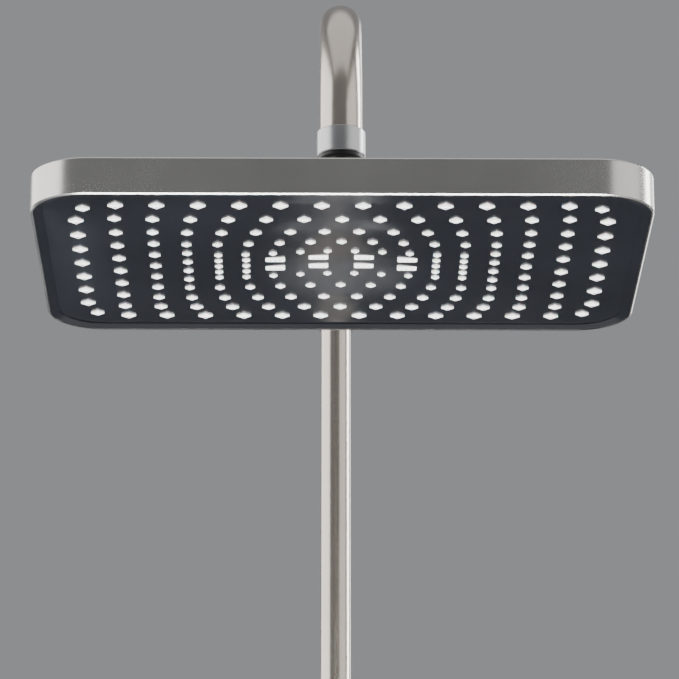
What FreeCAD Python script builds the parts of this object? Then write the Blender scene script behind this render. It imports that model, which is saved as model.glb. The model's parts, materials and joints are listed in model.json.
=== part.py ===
import FreeCAD, Part
import math
import os

# Rainfall shower column for a bathroom wall, in millimetres.
# +Z is up, the wall is the plane Y = 0 and the column stands in front of it, towards -Y.
# The origin is the water inlet, on the wall plane, and X = 0 is the column's middle plane.

# ---------------------------------------------------------------- driving sizes
# Layout
riser_stand_off = 60.0         # wall to the riser's axis
arm_reach = 395.0              # riser's axis to the head's axis
head_level = 900.0             # water inlet up to the head's bottom plane
lower_riser_top = 742.0        # water inlet up to the end of the fixed tube
upper_riser_length = 560.0     # length of the sliding tube
bracket_level = 690.0          # water inlet up to the wall bracket's axis

# Fits and gaps
running_gap = 0.05             # radial gap where one round piece turns or slides in another
ball_gap = 0.08                # radial gap on each side of the ball's liners
thread_gap = 0.05              # radial gap in a screwed or pressed-in joint
plate_gap = 0.2                # spray plate inside its casing, and nozzles in the plate's holes
free_gap = 0.3                 # gap between pieces that pass each other without touching

# Shower head
head_width = 310.0
head_depth = 206.0
head_height = 19.6
head_corner = 29.0
cover_wall = 1.4
cover_top = 1.5
cover_edge = 1.2               # fillet round the casing's upper edge
cover_lip = 0.6                # chamfer round the casing's lower edge
plate_recess = 1.9             # the spray face above the casing's lower edge
bevel_width = 4.5              # sloping border round the spray face
bevel_lip = 0.3                # the border's outer edge above the casing's lower edge
bevel_flat = 0.2               # flat rim of the border before it slopes
face_shoulder = 15.0           # front and back margin where the face is no longer domed
border_step = 0.45             # the step between border and spray face
plate_top = 5.0
face_dome = 2.5                # how far the spray face bulges down
face_dimple = 3.3              # how deep the middle is drawn back up
dimple_x = 29.0
dimple_y = 34.0
mat_sheet = 1.5                # thickness of the silicone sheet
nozzle_stand = 0.7             # straight part of a nozzle below the face
nozzle_tip = 1.0               # tapered part below that
nozzle_bore = 0.6
chamber_inset = 3.0            # chamber flange inside the plate's edge
chamber_flange = 9.8           # width of the flange that clamps the mat
flange_thick = 3.0
chamber_wall = 2.0
chamber_height = 8.0           # mat to the chamber's upper face
boss_r = 15.0
screw_r = 1.25
screw_head_r = 2.5
screw_head = 1.8
screw_slot = 0.7               # width and depth of a screw's slot
screw_bite = 2.4               # how far a screw goes into the spray plate

# Rings of nozzles: count along X, count along Y, share of half width, share of half depth, size
nozzle_rings = (
    (13, 8, 0.733, 0.6403, 6.3),
    (12, 7, 0.6135, 0.4765, 5.5),
    (11, 6, 0.5066, 0.3167, 4.7),
    (10, 5, 0.405, 0.1628, 3.8),
)
outer_ring_size = 7.3
outer_corner_size = 6.6
outer_row_count = 12
outer_side_count = 7
outer_x = 0.8575               # side column, as a share of half the head's width
outer_y = 0.8051               # front and back row, as a share of half its depth
outer_step_x = 0.1319          # spacing along the rows, as a share of half the width
outer_step_y = 0.2010          # spacing along the columns, as a share of half the depth
outer_corner_x = 0.831
outer_corner_y = 0.7643
inner_column_x = 0.314         # second column inside the smallest ring
bar_length = 10.0
bar_width = 5.0
bar_columns = (0.0752, 0.2183)
bar_row = 0.0615

# Ball joint
ball_r = 10.5
ball_rise = 36.2               # head's bottom plane to the ball's centre
ball_neck_r = 5.5
ball_bore = 3.5
liner_thick = 0.84
lip_angle = 56.0               # the nut's opening, measured from the joint's axis
upper_liner_angles = (58.0, 76.0)
lower_liner_angles = (96.0, 120.0)
ball_seal_angle = 145.0
ball_seal_r = 1.2
socket_flange_r = 22.0
socket_flange = 4.0
socket_wall = 4.0
socket_spigot_r = 9.95
socket_bore = 5.5
socket_nut_wall = 2.6
lip_land = 1.6                 # nut's upper face above the edge that holds the ball
socket_nut_bevel = 1.0
socket_nut_flat = 1.4          # depth of the two spanner flats
socket_nut_skirt = 9.5         # ball's centre down to the nut's lower edge
collar_r = 12.55
collar_height = 13.7
collar_rise = 23.3             # ball's centre up to the collar
collar_thread_r = 10.3
collar_floor = 3.0
collar_bevel = 0.5
shade_ring_r = 11.8
shade_ring = 3.0
shade_ring_bevel = 1.2
filter_washer = 1.5
filter_wire = 0.5
filter_rows = (-2, -1, 0, 1, 2)

# Arm
tube_r = 11.0
tube_wall = 1.2
arm_rise = 84.0                # top of the collar up to the arm's centre line
front_bend = 70.0
rear_bend = 32.0
rear_leg = 3.0
nipple_depth = 14.0            # how far the brass nipple reaches into the arm
nipple_wall = 3.0

# Riser and swivel
swivel_nut_wall = 1.0
swivel_nut_room = 1.4          # between the sliding tube's flange and the swivel nut
swivel_nut_height = 20.0
swivel_lip = 2.5
swivel_nut_bevel = 0.4
spigot_collar = 13.0           # height of the spigot's collar inside the swivel nut
riser_flange_width = 1.6
riser_flange = 3.0
slip_washer = 0.5
spigot_length = 20.0
spigot_bore = 5.0
o_ring_r = 0.9
groove_room = 0.1              # groove deeper and wider than its O-ring, on each side
spigot_seal_shares = (0.45, 0.75)
piston_seal_shares = (0.3, 0.7)
piston_length = 18.0
piston_grip = 16.0

# Height clamp
sleeve_wall = 2.45
sleeve_below = 17.0            # threaded sleeve, below the fixed tube's end
sleeve_above = 4.0
bush_wall = 0.7
bush_depth = 20.0
bush_flange = 2.0
collet_height = 16.0
collet_cone = 8.0
collet_step = 1.5              # collet's shoulder outside the fixed tube
collet_slit = 1.5
clamp_nut_wall = 2.4
clamp_nut_skirt = 22.0         # below the collet's cone
clamp_nut_lip = 3.0
clamp_nut_low_bevel = 0.8
clamp_nut_top_bevel = 1.6
clamp_nut_plain_low = 3.0      # smooth bands below and above the flutes
clamp_nut_plain_top = 5.0
clamp_nut_flutes = 20
flute_r = 1.6
flute_out = 0.88               # flute's centre line outside the grip's surface

# Wall bracket
bracket_ring_wall = 3.5
bracket_ring_height = 22.0
bracket_liner_wall = 1.0
bracket_edge = 1.2
stem_r = 8.0
stem_spigot_r = 6.0
stem_spigot = 15.0
wall_plate_r = 24.0
wall_plate = 4.0
wall_boss_r = 10.0
wall_boss = 20.0
wall_hole_r = 2.6
wall_hole_spacing = 32.0
grub_r = 2.0
grub_socket_r = 1.0
grub_socket = 1.5
grub_share = 0.75              # place of the set screw along the boss
cover_flange_r = 29.0
cover_flange_depth = 14.0
cover_flange_slope = 6.0       # how far the flange's side leans in
cover_flange_edge = 3.0        # upright part of its side, next to the wall
flange_wall = 1.2

# Diverter
barrel_wall = 4.0
barrel_edge = 2.0
upright_step = 1.0             # upright barrel inside the front barrel's radius
barrel_below = 30.0
barrel_above = 32.0
spout_wall = 2.45
spout_height = 10.0
tube_seat = 10.0               # how far the fixed tube goes into the spout
riser_bore = 7.0
rear_barrel_r = 14.0
rear_barrel_gap = 9.0          # rear barrel's end to the wall
front_barrel = 32.0            # riser's axis to the front barrel's end
chamber_r = 13.0
chamber_depth = 24.0
inlet_bore = 4.5
port_r = 2.6
port_offset = 9.5
port_blind = 6.0               # where the upright bores end, above and below the axis
union_nut_wall = 2.95
union_nut_lip = 4.0
union_nut_bevel = 0.8
union_seal = 2.8
inlet_thread_r = 10.4
inlet_root_r = 10.2
inlet_bore_r = 7.5
inlet_engagement = 19.0
inlet_beyond_wall = 14.0
inlet_thread_start = 5.0       # where the outer thread starts, in front of the wall
escutcheon_r = 33.0
escutcheon_depth = 12.0
escutcheon_face_r = 24.0
escutcheon_edge = 2.0          # upright part of its side, next to the wall
escutcheon_side_wall = 1.92
hose_thread_r = 10.3
hose_thread = 12.0
hose_flange_r = 13.0
hose_flange = 4.0
hose_root_r = 9.0
hose_root = 10.0
hose_bore_r = 6.0
hose_seal = 1.5
hose_seat = 0.5                # left between the nipple's end and the bottom of its hole
valve_length = 14.0
valve_wall = 1.2
valve_poppet_gap = 1.6
valve_rib = 0.8                # thickness of the ribs that carry the poppet
valve_rib_height = 2.0
disc_thick = 3.0
pocket_depth = 1.5
pocket_rim = 1.0               # disc left outside the pocket
tongue_thick = 2.9             # tongue on the spindle, and its slot in the disc
tongue_height = 0.9
fixed_disc_gap = 0.3           # between the fixed disc and the chamber's wall
housing_wall = 1.6
spindle_r = 4.5
spindle_flange_r = 9.0
spindle_flange = 1.7
cartridge_length = 15.0
cartridge_nut_face = 3.0
cartridge_nut_bevel = 0.8
knob_r = 19.0
knob_length = 27.0
knob_edge = 1.5
knob_plain = 4.0               # smooth bands behind and in front of the flutes
knob_gap = 1.5                 # knob in front of the cartridge nut
knob_flutes = 24
knob_seat = 10.0               # how far the spindle goes into the knob
knob_cap_r = 9.0
knob_cap = 2.5
knob_cap_edge = 0.8
knob_screw_r = 2.0
knob_screw_head_r = 4.0
knob_screw_head = 2.6
knob_screw_socket_r = 1.5
knob_screw_socket = 1.5
knob_screw_length = 8.0
lever_r = 3.0
lever_length = 15.0
lever_root = 3.0               # how deep the lever sits in the knob
lever_edge = 1.5

# ---------------------------------------------------------------- derived places
X_AXIS = FreeCAD.Vector(1, 0, 0)
Y_AXIS = FreeCAD.Vector(0, 1, 0)
Z_AXIS = FreeCAD.Vector(0, 0, 1)
ORIGIN = FreeCAD.Vector(0, 0, 0)

riser_foot = FreeCAD.Vector(0, -riser_stand_off, 0)
head_origin = FreeCAD.Vector(0, -riser_stand_off - arm_reach, head_level)
ball_centre = FreeCAD.Vector(0, 0, ball_rise)

plate_width = head_width - 2 * (cover_wall + plate_gap)
plate_depth = head_depth - 2 * (cover_wall + plate_gap)
plate_corner = head_corner - cover_wall - plate_gap
mat_top = plate_top + mat_sheet
chamber_top = mat_top + chamber_height
cover_inside = head_height - cover_top
chamber_inside = chamber_inset + chamber_flange

liner_inner = ball_r + ball_gap
liner_outer = liner_inner + liner_thick
socket_sphere = liner_outer + ball_gap
socket_r = socket_sphere + socket_wall
socket_nut_top = socket_sphere * math.cos(math.radians(lip_angle)) + lip_land
collar_low = ball_rise + collar_rise
collar_top = collar_low + collar_height

tube_bore = tube_r - tube_wall
upper_tube_r = tube_bore - thread_gap - bush_wall - running_gap
upper_tube_bore = upper_tube_r - tube_wall
riser_flange_r = upper_tube_r + riser_flange_width
swivel_nut_r = riser_flange_r + swivel_nut_room + swivel_nut_wall
arm_level = head_level + collar_top + arm_rise
arm_rear_end = arm_level - rear_bend - rear_leg
swivel_low = arm_rear_end - swivel_nut_height
spigot_collar_low = arm_rear_end - spigot_collar
riser_top = spigot_collar_low - running_gap * 2 - slip_washer
upper_riser_low = riser_top - upper_riser_length
sleeve_r = tube_r + thread_gap + sleeve_wall
sleeve_top = lower_riser_top + sleeve_above
collet_r = tube_r + collet_step
clamp_nut_bore = sleeve_r + 2 * running_gap
clamp_nut_r = clamp_nut_bore + clamp_nut_wall
collet_low = lower_riser_top + bush_flange

barrel_r = chamber_r + barrel_wall
upright_r = barrel_r - upright_step
spout_r = tube_r + thread_gap + spout_wall
union_nut_r = spout_r + thread_gap + union_nut_wall
fixed_disc_r = chamber_r - fixed_disc_gap
moving_disc_r = chamber_r - 2 * thread_gap - housing_wall - free_gap
spout_top = barrel_above + spout_height
lower_riser_low = spout_top - tube_seat
front_end = -riser_stand_off - front_barrel
chamber_floor = front_end + chamber_depth
cartridge_nut_front = front_end - cartridge_nut_face
knob_back = cartridge_nut_front - knob_gap
knob_front = knob_back - knob_length
spindle_front = knob_back - knob_seat


# ---------------------------------------------------------------- shape helpers
def point(x, y, z):
    return FreeCAD.Vector(x, y, z)


def rod(radius, start, direction, length):
    """A round bar from start along direction."""
    return Part.makeCylinder(radius, length, start, direction)


def pipe(outer, inner, start, direction, length):
    """A straight tube."""
    return rod(outer, start, direction, length).cut(rod(inner, start, direction, length))


def ring_seal(radius, section, centre, direction):
    """An O-ring of round section, on a circle of the given radius."""
    return Part.makeTorus(radius, section, centre, direction)


def seal_groove(outer, centre, direction):
    """What is cut away for an O-ring round a shaft that fits a bore of radius outer."""
    width = 2 * (o_ring_r + groove_room)
    return pipe(outer + groove_room, outer - width + groove_room,
                centre - direction * width / 2, direction, width)


def turned(profile):
    """A solid turned about the Z axis, from closed (radius, height) points."""
    corners = [point(r, 0, z) for r, z in profile]
    outline = Part.makePolygon(corners + corners[:1])
    return Part.Face(outline).revolve(ORIGIN, Z_AXIS, 360)


def lay_back(shape):
    """Turn a shape made along +Z so that it points along -Y, out of the wall."""
    laid = shape.copy()
    laid.rotate(ORIGIN, X_AXIS, 90)
    return laid


def move(shape, offset):
    moved = shape.copy()
    moved.translate(offset)
    return moved


def joined(first, *others):
    """One solid from pieces that touch, with the seams between flat faces removed."""
    return first.fuse(list(others)).removeSplitter()


def rounded_outline(width, depth, corner, level):
    """The outline of a rectangle with round corners, at one height."""
    half_w = width / 2
    half_d = depth / 2
    bite = corner * (1 - math.sqrt(0.5))
    edges = []
    for turn in range(4):
        a, b = (half_w, half_d) if turn % 2 == 0 else (half_d, half_w)
        side = Part.makeLine(point(a, corner - b, level), point(a, b - corner, level))
        middle = point(a - bite, b - bite, level)
        arc = Part.Arc(point(a, b - corner, level), middle, point(a - corner, b, level)).toShape()
        for edge in (side, arc):
            edge.rotate(ORIGIN, Z_AXIS, 90 * turn)
            edges.append(edge)
    return Part.Wire(edges)


def rounded_block(width, depth, corner, low, high):
    return Part.Face(rounded_outline(width, depth, corner, low)).extrude(point(0, 0, high - low))


def inset_block(inset, low, high):
    """A block with the spray plate's outline, drawn in by inset."""
    return rounded_block(
        plate_width - 2 * inset, plate_depth - 2 * inset, plate_corner - inset, low, high
    )


def sphere_zone(inner, outer, from_angle, to_angle):
    """Part of a spherical shell round the ball's centre, between two angles from +Z."""
    def at(radius, angle):
        bend = math.radians(angle)
        return point(radius * math.sin(bend), 0, radius * math.cos(bend))

    middle = (from_angle + to_angle) / 2
    edges = [
        Part.Arc(at(outer, from_angle), at(outer, middle), at(outer, to_angle)).toShape(),
        Part.makeLine(at(outer, to_angle), at(inner, to_angle)),
        Part.Arc(at(inner, to_angle), at(inner, middle), at(inner, from_angle)).toShape(),
        Part.makeLine(at(inner, from_angle), at(outer, from_angle)),
    ]
    zone = Part.Face(Part.Wire(edges)).revolve(ORIGIN, Z_AXIS, 360)
    return move(zone, ball_centre)


# ---------------------------------------------------------------- the spray face
def dome_share(t):
    """1 in the middle of the face and 0 at its edge, with a flat top and soft shoulders."""
    if abs(t) >= 1:
        return 0.0
    return math.cos(math.pi / 2 * abs(t) ** 2.6) ** 2


def face_level(x, y):
    """Height of the spray face above the casing's lower edge."""
    dome = face_dome * dome_share(x / (head_width / 2 - 1)) * dome_share(y / (head_depth / 2 - face_shoulder))
    dimple = face_dimple * math.exp(-(x / dimple_x) ** 2 / 2 - (y / dimple_y) ** 2 / 2)
    return plate_recess - dome + dimple


def nozzle_places():
    """Every nozzle as (x, y, size): five nested rings."""
    half_w = head_width / 2
    half_d = head_depth / 2
    places = []
    for i in range(outer_row_count):
        x = (i - (outer_row_count - 1) / 2) * outer_step_x * half_w
        places += [(x, side * outer_y * half_d, outer_ring_size) for side in (-1, 1)]
    for i in range(outer_side_count):
        y = (i - (outer_side_count - 1) / 2) * outer_step_y * half_d
        places += [(side * outer_x * half_w, y, outer_ring_size) for side in (-1, 1)]
    for sx in (-1, 1):
        for sy in (-1, 1):
            corner = (sx * outer_corner_x * half_w, sy * outer_corner_y * half_d)
            places.append((*corner, outer_corner_size))
    for count_x, count_y, share_x, share_y, size in nozzle_rings:
        edge_x = share_x * half_w
        edge_y = share_y * half_d
        for i in range(count_x):
            x = edge_x * (2 * i / (count_x - 1) - 1)
            places += [(x, side * edge_y, size) for side in (-1, 1)]
        for i in range(1, count_y - 1):
            y = edge_y * (2 * i / (count_y - 1) - 1)
            places += [(side * edge_x, y, size) for side in (-1, 1)]
    inner_count = nozzle_rings[-1][1]
    inner_edge = nozzle_rings[-1][3] * half_d
    for i in range(1, inner_count - 1):
        y = inner_edge * (2 * i / (inner_count - 1) - 1)
        places += [(side * inner_column_x * half_w, y, nozzle_rings[-1][4]) for side in (-1, 1)]
    return places


def bar_places():
    """The eight flat jets round the middle."""
    half_w = head_width / 2
    half_d = head_depth / 2
    columns = [side * share * half_w for share in bar_columns for side in (-1, 1)]
    return [(x, side * bar_row * half_d) for x in columns for side in (-1, 1)]


def diamond_outline(x, y, half, level):
    corners = [
        point(x + half, y, level),
        point(x, y + half, level),
        point(x - half, y, level),
        point(x, y - half, level),
    ]
    return Part.makePolygon(corners + corners[:1])


def bar_outline(x, y, grow, level):
    half_l = bar_length / 2 + grow
    half_w = bar_width / 2 + grow
    corners = [
        point(x + half_l, y + half_w, level),
        point(x - half_l, y + half_w, level),
        point(x - half_l, y - half_w, level),
        point(x + half_l, y - half_w, level),
    ]
    return Part.makePolygon(corners + corners[:1])


def screw_places():
    """Screws round the chamber's flange, between the spray plate's edge and the chamber's wall."""
    inset = chamber_inset + (chamber_flange - chamber_wall) / 2
    edge_x = plate_width / 2 - inset
    edge_y = plate_depth / 2 - inset
    reach_x = edge_x - plate_corner
    reach_y = edge_y - plate_corner
    rows = [(reach_x * share, side * edge_y) for share in (-1, -0.34, 0.34, 1) for side in (-1, 1)]
    columns = [(side * edge_x, reach_y * share) for share in (-1, 0, 1) for side in (-1, 1)]
    return rows + columns


# ---------------------------------------------------------------- the shower head
def make_head_cover():
    """Casing: a deep tray upside down, with a hole for the ball joint."""
    outer = rounded_block(head_width, head_depth, head_corner, 0, head_height)
    top_edges = [e for e in outer.Edges if abs(e.BoundBox.ZMin - head_height) < 1e-6]
    outer = outer.makeFillet(cover_edge, top_edges)
    low_edges = [e for e in outer.Edges if abs(e.BoundBox.ZMax) < 1e-6]
    outer = outer.makeChamfer(cover_lip, low_edges)
    inside = rounded_block(
        head_width - 2 * cover_wall,
        head_depth - 2 * cover_wall,
        head_corner - cover_wall,
        -1,
        cover_inside,
    )
    hole = rod(socket_spigot_r + free_gap, point(0, 0, cover_inside - 1), Z_AXIS, cover_top + 2)
    return outer.cut([inside, hole])


def face_solid(level):
    """Everything above the spray face's curved skin, up to level."""
    half_w = head_width / 2
    half_d = head_depth / 2
    across, along = 19, 13
    grid = []
    for i in range(across):
        x = half_w * (2 * i / (across - 1) - 1)
        row = []
        for j in range(along):
            y = half_d * (2 * j / (along - 1) - 1)
            row.append(point(x, y, face_level(x, y)))
        grid.append(row)
    skin = Part.BSplineSurface()
    skin.interpolate(grid)
    return skin.toShape().extrude(point(0, 0, level + face_dome + face_dimple))


def make_spray_plate():
    """Face plate: a bevelled border round a domed face with a hole for every nozzle."""
    below = -face_dome - 1
    inner = plate_width - 2 * bevel_width, plate_depth - 2 * bevel_width, plate_corner - bevel_width
    holes = [diamond_outline(x, y, size / 2 + plate_gap * math.sqrt(2), below)
             for x, y, size in nozzle_places()]
    holes += [bar_outline(x, y, plate_gap, below) for x, y in bar_places()]
    outline = rounded_outline(*inner, below)
    face = Part.makeFace([outline] + holes, "Part::FaceMakerCheese")
    slab = face.extrude(point(0, 0, plate_top - below)).common(face_solid(plate_top))
    bevel_top = plate_recess - border_step
    rim = rounded_block(plate_width, plate_depth, plate_corner, bevel_lip, plate_top)
    slope = Part.makeLoft(
        [rounded_outline(plate_width - 2 * bevel_flat, plate_depth - 2 * bevel_flat,
                         plate_corner - bevel_flat, bevel_lip),
         rounded_outline(*inner, bevel_top)], True, True)
    rim = rim.cut([slope, rounded_block(*inner, bevel_lip, plate_top)])
    plate = joined(slab, rim)
    pilots = [rod(screw_r + thread_gap, point(x, y, plate_top - screw_bite - 0.1), Z_AXIS, screw_bite + 1)
              for x, y in screw_places()]
    return plate.cut(pilots)


def make_nozzle(x, y, size):
    """One diamond nozzle, from the sheet down through the plate to a tapered tip."""
    level = face_level(x, y)
    shoulder = level - nozzle_stand
    tip = shoulder - nozzle_tip
    stem = Part.Face(diamond_outline(x, y, size / 2, shoulder)).extrude(
        point(0, 0, plate_top - shoulder))
    cone = Part.makeLoft(
        [diamond_outline(x, y, size / 2, shoulder), diamond_outline(x, y, size / 6, tip)], True, True)
    return joined(stem, cone)


def make_bar(x, y):
    """One flat jet, with a straight face."""
    tip = face_level(x, y) - nozzle_stand
    return Part.Face(bar_outline(x, y, 0, tip)).extrude(point(0, 0, plate_top - tip))


def make_nozzle_mat():
    """Silicone sheet with every nozzle moulded on, a bore through each, and holes for the screws."""
    sheet = inset_block(chamber_inset, plate_top, mat_top)
    nozzles = [make_nozzle(*place) for place in nozzle_places()]
    bars = [make_bar(*place) for place in bar_places()]
    mat = joined(sheet, *nozzles, *bars)
    low = -face_dome - nozzle_stand - nozzle_tip - 1
    bores = [rod(nozzle_bore, point(x, y, low), Z_AXIS, mat_top + 1 - low)
             for x, y, _ in nozzle_places()]
    for x, y in bar_places():
        bores += [rod(nozzle_bore, point(x + side * bar_length / 4, y, low), Z_AXIS, mat_top + 1 - low)
                  for side in (-1, 0, 1)]
    bores += [rod(screw_r + free_gap, point(x, y, plate_top - 1), Z_AXIS, mat_sheet + 2)
              for x, y in screw_places()]
    return mat.cut(bores)


def make_water_chamber():
    """Back of the water space: a flange that clamps the mat, a shallow tray and a threaded boss."""
    flange = inset_block(chamber_inset, mat_top, mat_top + flange_thick)
    tray = inset_block(chamber_inside - chamber_wall, mat_top, chamber_top)
    boss = rod(boss_r, point(0, 0, chamber_top - 1), Z_AXIS, cover_inside - chamber_top + 1)
    solid = joined(flange, tray, boss)
    space = inset_block(chamber_inside, mat_top - 1, chamber_top - chamber_wall)
    bore = rod(socket_spigot_r + thread_gap, point(0, 0, mat_top), Z_AXIS, head_height)
    holes = [rod(screw_r + free_gap, point(x, y, mat_top - 1), Z_AXIS, flange_thick + 2)
             for x, y in screw_places()]
    return solid.cut([space, bore] + holes)


def make_plate_screws():
    """The self-tapping screws that hold the chamber to the spray plate."""
    seat = mat_top + flange_thick
    screws = []
    for x, y in screw_places():
        low = plate_top - screw_bite
        shank = rod(screw_r, point(x, y, low), Z_AXIS, seat - low)
        head = rod(screw_head_r, point(x, y, seat), Z_AXIS, screw_head)
        slot_start = point(x - screw_slot / 2, y - 2 * screw_head_r, seat + screw_head - screw_slot)
        slot = Part.makeBox(screw_slot, 4 * screw_head_r, 2 * screw_slot, slot_start)
        screws.append(joined(shank, head).cut(slot))
    return Part.makeCompound(screws)


# ---------------------------------------------------------------- the ball joint
def make_ball_socket():
    """Lower half of the joint, screwed into the chamber through the casing."""
    flange_top = head_height + socket_flange
    spigot_low = chamber_top - chamber_wall
    body = joined(
        rod(socket_spigot_r, point(0, 0, spigot_low), Z_AXIS, head_height - spigot_low),
        rod(socket_flange_r, point(0, 0, head_height), Z_AXIS, socket_flange),
        rod(socket_r, point(0, 0, flange_top), Z_AXIS, ball_rise - flange_top),
    )
    return body.cut([
        Part.makeSphere(socket_sphere, ball_centre),
        rod(socket_bore, point(0, 0, spigot_low - 1), Z_AXIS, ball_rise - spigot_low),
        ball_seal_ring(ball_seal_r + thread_gap),
    ])


def ball_seal_ring(section):
    """O-ring shape that bears on the underside of the ball."""
    angle = math.radians(ball_seal_angle)
    distance = ball_r + ball_gap + ball_seal_r
    centre = ball_centre + point(0, 0, distance * math.cos(angle))
    return ring_seal(distance * math.sin(angle), section, centre, Z_AXIS)


def make_socket_nut():
    """Cap nut that keeps the ball in its socket and leaves room for the neck to tilt."""
    outer_r = socket_r + thread_gap + socket_nut_wall
    low = ball_rise - socket_nut_skirt
    body = rod(outer_r, point(0, 0, low), Z_AXIS, socket_nut_skirt + socket_nut_top)
    top_rim = [e for e in body.Edges if e.BoundBox.ZMin > ball_rise + socket_nut_top - 1e-6]
    body = body.makeChamfer(socket_nut_bevel, top_rim)
    reach = socket_nut_top + 1
    flare = math.tan(math.radians(lip_angle))
    cone = Part.makeCone(0, reach * flare, reach, ball_centre, Z_AXIS)
    skirt = rod(socket_r + thread_gap, point(0, 0, low - 1), Z_AXIS, socket_nut_skirt + 1)
    body = body.cut([Part.makeSphere(socket_sphere, ball_centre), cone, skirt])
    flats = [Part.makeBox(outer_r * 2, 2 * socket_nut_flat, socket_nut_skirt,
                          point(-outer_r, side * outer_r - socket_nut_flat, low)) for side in (-1, 1)]
    return body.cut(flats)


def make_swivel_ball():
    """Ball, neck and collar in one: the collar screws on to the arm."""
    ball = Part.makeSphere(ball_r, ball_centre)
    neck = rod(ball_neck_r, ball_centre, Z_AXIS, collar_rise + collar_floor / 2)
    collar = rod(collar_r, point(0, 0, collar_low), Z_AXIS, collar_height)
    rims = [e for e in collar.Edges if e.Closed and len(e.Vertexes) == 1]
    collar = collar.makeChamfer(collar_bevel, rims)
    body = joined(ball, neck, collar)
    thread = rod(collar_thread_r, point(0, 0, collar_low + collar_floor), Z_AXIS, collar_height)
    water = rod(ball_bore, point(0, 0, 0), Z_AXIS, collar_top)
    return body.cut([thread, water])


def make_shade_ring():
    """Dark plastic ring on the neck, under the collar."""
    inner = ball_neck_r + thread_gap
    ring = pipe(shade_ring_r, inner, point(0, 0, collar_low - shade_ring), Z_AXIS, shade_ring)
    low_rim = [e for e in ring.Edges
               if abs(e.BoundBox.ZMax - collar_low + shade_ring) < 1e-6 and e.BoundBox.XLength > shade_ring_r]
    return ring.makeChamfer(shade_ring_bevel, low_rim)


def make_inlet_filter():
    """Washer with a mesh centre, between the arm's nipple and the collar's floor."""
    low = collar_low + collar_floor
    washer = pipe(collar_thread_r - thread_gap, ball_bore, point(0, 0, low), Z_AXIS, filter_washer)
    reach = ball_bore + filter_wire
    level = low + (filter_washer - filter_wire) / 2
    bars = [Part.makeBox(2 * reach, filter_wire, filter_wire, point(-reach, y - filter_wire / 2, level))
            for y in filter_rows]
    cross = [Part.makeBox(filter_wire, 2 * reach, filter_wire, point(x - filter_wire / 2, -reach, level))
             for x in filter_rows]
    return joined(washer, *bars, *cross)


# ---------------------------------------------------------------- the arm
def make_shower_arm():
    """Bent tube: up from the collar, back over the head and down to the riser."""
    front = head_origin + point(0, 0, collar_top)
    front_top = FreeCAD.Vector(0, head_origin.y, arm_level - front_bend)
    rear_top = FreeCAD.Vector(0, -riser_stand_off, arm_level - rear_bend)
    rear = FreeCAD.Vector(0, -riser_stand_off, arm_rear_end)
    bow = math.sqrt(0.5)

    def bend_points(start, radius, way):
        middle = start + point(0, way * radius * (1 - bow), radius * bow)
        return middle, start + point(0, way * radius, radius)

    front_mid, front_end_point = bend_points(front_top, front_bend, 1)
    rear_mid, rear_end_point = bend_points(rear_top, rear_bend, -1)
    path = Part.Wire([
        Part.makeLine(front, front_top),
        Part.Arc(front_top, front_mid, front_end_point).toShape(),
        Part.makeLine(front_end_point, rear_end_point),
        Part.Arc(rear_end_point, rear_mid, rear_top).toShape(),
        Part.makeLine(rear_top, rear),
    ])
    outer = Part.Wire(Part.makeCircle(tube_r, front, Z_AXIS))
    inner = Part.Wire(Part.makeCircle(tube_bore, front, Z_AXIS))
    return path.makePipeShell([outer], True, True).cut(path.makePipeShell([inner], True, True))


def make_arm_end_nipple():
    """Brass insert at the arm's front end, with the thread that the collar screws on to."""
    seat = collar_low + collar_floor + filter_washer
    body = joined(
        rod(collar_thread_r - thread_gap, point(0, 0, seat), Z_AXIS, collar_top - seat),
        rod(tube_bore - thread_gap, point(0, 0, collar_top), Z_AXIS, nipple_depth),
    )
    bore_length = collar_top + nipple_depth - seat + 2
    return body.cut(rod(tube_bore - nipple_wall, point(0, 0, seat - 1), Z_AXIS, bore_length))


def make_swivel_spigot():
    """Brass spigot in the arm's rear end, which turns inside the top of the sliding tube."""
    low = spigot_collar_low - spigot_length
    nut_inner = swivel_nut_r - swivel_nut_wall - thread_gap
    body = joined(
        rod(upper_tube_bore - running_gap * 2, point(0, 0, low), Z_AXIS, spigot_length),
        rod(nut_inner, point(0, 0, spigot_collar_low), Z_AXIS, spigot_collar),
        rod(tube_bore - thread_gap, point(0, 0, arm_rear_end), Z_AXIS, rear_leg),
    )
    length = arm_rear_end + rear_leg - low
    body = body.cut(rod(spigot_bore, point(0, 0, low - 1), Z_AXIS, length + 2))
    grooves = [seal_groove(upper_tube_bore, point(0, 0, level), Z_AXIS)
               for level in spigot_seal_levels()]
    return move(body.cut(grooves), riser_foot)


def spigot_seal_levels():
    return [spigot_collar_low - spigot_length * share for share in spigot_seal_shares]


def make_spigot_seals():
    """The two O-rings on the spigot."""
    circle = upper_tube_bore - running_gap - o_ring_r
    rings = [ring_seal(circle, o_ring_r, riser_foot + point(0, 0, level), Z_AXIS)
             for level in spigot_seal_levels()]
    return Part.makeCompound(rings)


def make_arm_swivel_nut():
    """Nut on the spigot's collar, whose lower lip holds the flange of the sliding tube."""
    inner = swivel_nut_r - swivel_nut_wall
    body = rod(swivel_nut_r, point(0, 0, swivel_low), Z_AXIS, swivel_nut_height)
    rims = [e for e in body.Edges if e.Closed and len(e.Vertexes) == 1]
    body = body.makeChamfer(swivel_nut_bevel, rims)
    body = body.cut([
        rod(upper_tube_r + free_gap, point(0, 0, swivel_low - 1), Z_AXIS, swivel_lip + 2),
        rod(inner, point(0, 0, swivel_low + swivel_lip), Z_AXIS, swivel_nut_height),
    ])
    return move(body, riser_foot)


# ---------------------------------------------------------------- the sliding tube
def make_upper_riser():
    return move(pipe(upper_tube_r, upper_tube_bore, point(0, 0, upper_riser_low), Z_AXIS,
                     upper_riser_length), riser_foot)


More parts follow.
